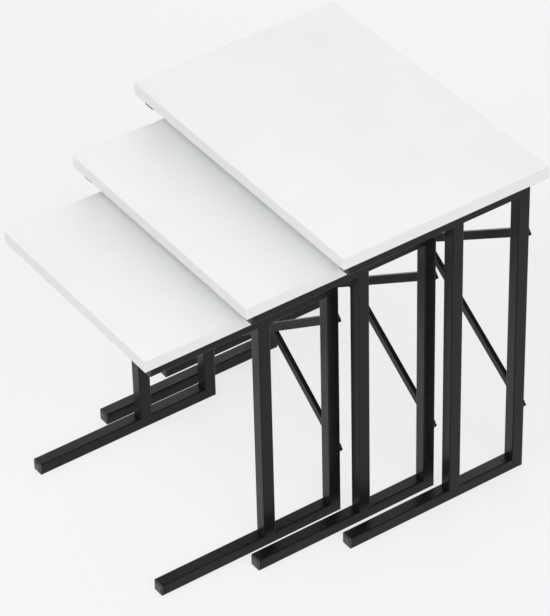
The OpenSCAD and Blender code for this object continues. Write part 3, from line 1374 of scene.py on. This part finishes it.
@dataclass(frozen=True)
class Fasteners:
    """Screws that hold the board to the rails and the brace to the rear posts.

    Attributes:
        table: Table that the fasteners belong to.
        board_screw: Screw that goes up through a rail into the board.
        brace_screw: Machine screw that goes through a bar into a rivet nut.
        turn: Turn of each screw from the one before it in its set.
    """

    table: TableName
    board_screw: PanScrew = PanScrew(
        head=8 * MM, height=2.4 * MM, shank=4 * MM, length=31 * MM, pitch=1.8 * MM,
        threaded=22 * MM, tip=2.5 * MM,
    )
    brace_screw: PanScrew = PanScrew(
        head=8 * MM, height=2.6 * MM, shank=4 * MM, length=14 * MM, pitch=0.7 * MM,
        threaded=12 * MM, tip=0.6 * MM,
    )
    turn: float = math.radians(137)

    def board_seats(self) -> list[Vector]:
        """Finds where the board screws' heads sit under the rails.

        Returns:
            The middle of each head's flat side.
        """
        node = Extent.of(self.table.node("board_screws"))
        edge = self.board_screw.head / 2
        level = node.low.z + self.board_screw.height
        return [
            Vector((x, y, level))
            for x in (node.low.x + edge, node.high.x - edge)
            for y in (node.low.y + edge, node.high.y - edge)
        ]

    def brace_seats(self) -> list[Vector]:
        """Finds where the brace screws' heads sit on the rear of the bars.

        Returns:
            The middle of each head's flat side.
        """
        node = Extent.of(self.table.node("brace_screws"))
        edge = self.brace_screw.head / 2
        level = node.high.y - self.brace_screw.height
        return [
            Vector((x, level, z))
            for x in (node.low.x + edge, node.high.x - edge)
            for z in (node.low.z + edge, node.high.z - edge)
        ]

    def build(self, bench: Bench) -> None:
        """Builds both sets of screws and dresses the rivet nuts.

        Args:
            bench: Where pieces are made.
        """
        sets = (
            ("board_screws", self.board_screw, self.board_seats(), -Z_AXIS),
            ("brace_screws", self.brace_screw, self.brace_seats(), Y_AXIS),
        )
        for word, screw, seats, facing in sets:
            node = self.table.node(word)
            pattern = screw.build()
            made = merged(
                placed(pattern, turned_to(facing, seat) @ Matrix.Rotation(i * self.turn, 4, "Z"))
                for i, seat in enumerate(seats)
            )
            pattern.free()
            bench.piece(f"{node}_turned", made, Slot.SCREW, self.table, node)
        bench.dress(self.table.node("rivet_nuts"), Slot.NUT)


@dataclass(frozen=True)
class NestingTable:
    """One table of the set.

    Attributes:
        name: Which table it is.
    """

    name: TableName

    def build(self, bench: Bench) -> None:
        """Builds every piece of the table.

        Args:
            bench: Where pieces are made.
        """
        fasteners = Fasteners(self.name)
        TableTop(self.name).build(bench, fasteners.board_seats())
        for side in Side:
            SideFrame(self.name, side).build(bench)
        Brace(self.name).build(bench, fasteners.brace_seats())
        TubePlugs(self.name).build(bench)
        fasteners.build(bench)


# ---- Studio ----


def direction_of(azimuth: float, elevation: float) -> Vector:
    """Finds the way from the set to a light or the camera.

    Args:
        azimuth: Degrees from the front towards the right.
        elevation: Degrees above the floor.

    Returns:
        The unit vector.
    """
    around, up = math.radians(azimuth), math.radians(elevation)
    return Vector((
        math.sin(around) * math.cos(up), -math.cos(around) * math.cos(up), math.sin(up)
    ))


@dataclass(frozen=True)
class SoftBox:
    """Large soft light that faces the set.

    Attributes:
        name: Name of the light.
        azimuth: Where it stands, in degrees from the front towards the right.
        elevation: Its height in degrees above the floor.
        distance: Its distance from the set.
        size: Length of its sides.
        power: Its power in watts.
    """

    name: str
    azimuth: float
    elevation: float
    distance: float
    size: float
    power: float

    def build(self, aim: Vector) -> None:
        """Hangs the light and turns it to a point.

        Args:
            aim: The point.
        """
        light = bpy.data.lights.new(self.name, "AREA")
        light.shape = "SQUARE"
        light.size = self.size
        light.energy = self.power
        holder = bpy.data.objects.new(self.name, light)
        away = direction_of(self.azimuth, self.elevation)
        holder.location = aim + away * self.distance
        holder.rotation_mode = "QUATERNION"
        holder.rotation_quaternion = away.to_track_quat("Z", "Y")
        holder.visible_camera = False
        bpy.context.scene.collection.objects.link(holder)


@dataclass(frozen=True)
class Studio:
    """Pale floor, soft light and the camera.

    Attributes:
        floor_reach: Half the width of the floor.
        floor_colour: Colour of the floor.
        floor_glow: Light that the floor gives off by itself.
        sky: Strength of the even light from above.
        horizon: Strength of the light level with the floor, where the sky meets it.
        haze: Height of that brighter rim, as the sine of its angle.
        boxes: Soft boxes around the set.
        azimuth: Where the camera stands, in degrees from the front towards the right.
        elevation: Its height in degrees above the floor.
        roll: Its tilt in degrees.
        distance: Its distance from its aim.
        aim: Where it looks, from the centre of the set.
        lens: Its focal length in millimetres.
        sight: How far it sees.
    """

    floor_reach: float = 20.0
    floor_colour: Colour = (0.2, 0.2, 0.2)
    floor_glow: float = 0.727
    sky: float = 0.3
    horizon: float = 0.8
    haze: float = 0.16
    boxes: tuple[SoftBox, ...] = (
        SoftBox("key_box", azimuth=0, elevation=51, distance=3.0, size=1.8, power=41),
        SoftBox("side_box", azimuth=82, elevation=36, distance=3.0, size=2.2, power=41),
        SoftBox("rear_box", azimuth=-135, elevation=26, distance=3.0, size=2.5, power=33),
    )
    azimuth: float = 55.92
    elevation: float = 38.57
    roll: float = -1.47
    distance: float = 5.0
    aim: tuple[float, float, float] = (0.0101, 0.0142, 0.2638)
    lens: float = 208.8
    sight: float = 100.0

    def build(self) -> None:
        """Builds the floor, the light and the camera."""
        self._floor()
        self._sky()
        for box in self.boxes:
            box.build(Vector(self.aim))
        self._camera()
        bpy.context.scene.view_settings.view_transform = "Standard"

    def _floor(self) -> None:
        """Lays the floor, a matt sheet that looks pale by its own glow."""
        mesh = bmesh.new()
        bmesh.ops.create_grid(mesh, x_segments=1, y_segments=1, size=self.floor_reach)
        data = bpy.data.meshes.new("floor")
        mesh.to_mesh(data)
        mesh.free()
        material = bpy.data.materials.new("pale_floor")
        material.use_nodes = True
        set_inputs(material.node_tree.nodes["Principled BSDF"], {
            "Base Color": (*self.floor_colour, 1),
            "Roughness": 1.0,
            "Specular IOR Level": 0.0,
            "Emission Color": WHITE,
            "Emission Strength": self.floor_glow,
        })
        data.materials.append(material)
        floor = bpy.data.objects.new("floor", data)
        bpy.context.scene.collection.objects.link(floor)

    def _sky(self) -> None:
        """Sets the even light from above, which grows paler towards the floor's far edge."""
        world = bpy.data.worlds.new("soft_sky")
        world.use_nodes = True
        nodes, links = world.node_tree.nodes, world.node_tree.links
        split, rise = nodes.new("ShaderNodeSeparateXYZ"), nodes.new("ShaderNodeMapRange")
        rise.interpolation_type = "SMOOTHSTEP"
        set_inputs(rise, {"From Max": self.haze, "To Min": self.horizon, "To Max": self.sky})
        links.new(nodes.new("ShaderNodeTexCoord").outputs["Generated"], split.inputs["Vector"])
        links.new(split.outputs["Z"], rise.inputs["Value"])
        links.new(rise.outputs["Result"], nodes["Background"].inputs["Strength"])
        set_inputs(nodes["Background"], {"Color": WHITE})
        bpy.context.scene.world = world

    def _camera(self) -> None:
        """Sets up the camera."""
        data = bpy.data.cameras.new("camera")
        data.lens = self.lens
        data.clip_end = self.sight
        camera = bpy.data.objects.new("camera", data)
        bpy.context.scene.collection.objects.link(camera)
        away = direction_of(self.azimuth, self.elevation)
        camera.location = Vector(self.aim) + away * self.distance
        camera.rotation_mode = "QUATERNION"
        tilt = Quaternion(Z_AXIS, math.radians(self.roll))
        camera.rotation_quaternion = (-away).to_track_quat("-Z", "Y") @ tilt
        bpy.context.scene.camera = camera


def main() -> None:
    """Builds the set and the studio."""
    logging.basicConfig(level=logging.INFO, format="%(name)s: %(message)s")
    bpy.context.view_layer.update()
    bench = Bench()
    for name in TableName:
        NestingTable(name).build(bench)
    Studio().build()


if __name__ == "__main__":
    main()
